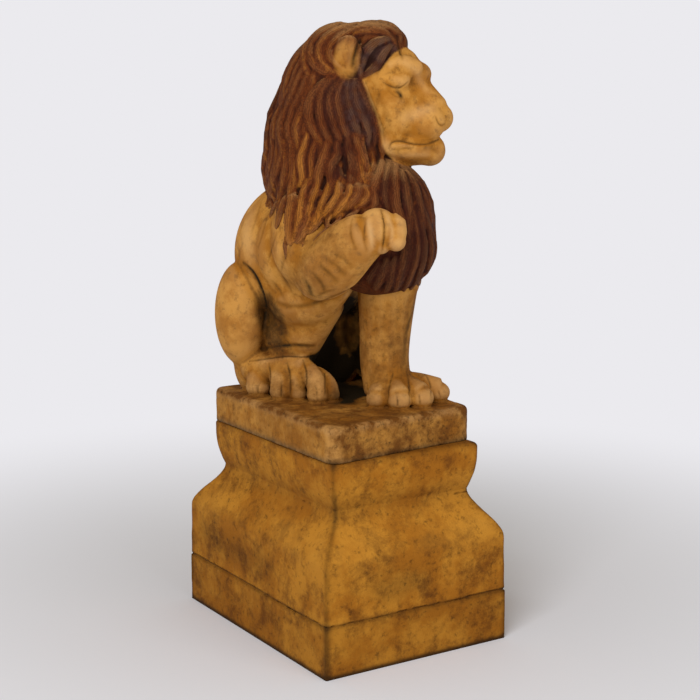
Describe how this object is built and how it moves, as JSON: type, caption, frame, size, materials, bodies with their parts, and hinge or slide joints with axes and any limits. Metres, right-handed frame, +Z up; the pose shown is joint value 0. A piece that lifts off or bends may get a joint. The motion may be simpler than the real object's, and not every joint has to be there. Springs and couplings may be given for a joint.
{
  "type": "seated lion garden statue on a pedestal",
  "caption": "Seated cast-stone lion, head turned and one forepaw raised, cast with a low slab that rests on a flared square pedestal.",
  "frame": {"origin": "middle of the pedestal's underside, on the ground", "axes": "+Z up, the lion's body faces -Y, +X is the lion's left, the side it turns its head to"},
  "size_m": [0.46, 0.605, 1.3281],
  "materials": {
    "lion_stone": "matt cast stone, golden tan with red-brown mane and dark patina in the creases",
    "pedestal_stone": "matt cast stone, ochre and brown mottled patina"
  },
  "bodies": {
    "root": {"lion": "lion_stone", "pedestal": "pedestal_stone"}
  },
  "joints": []
}
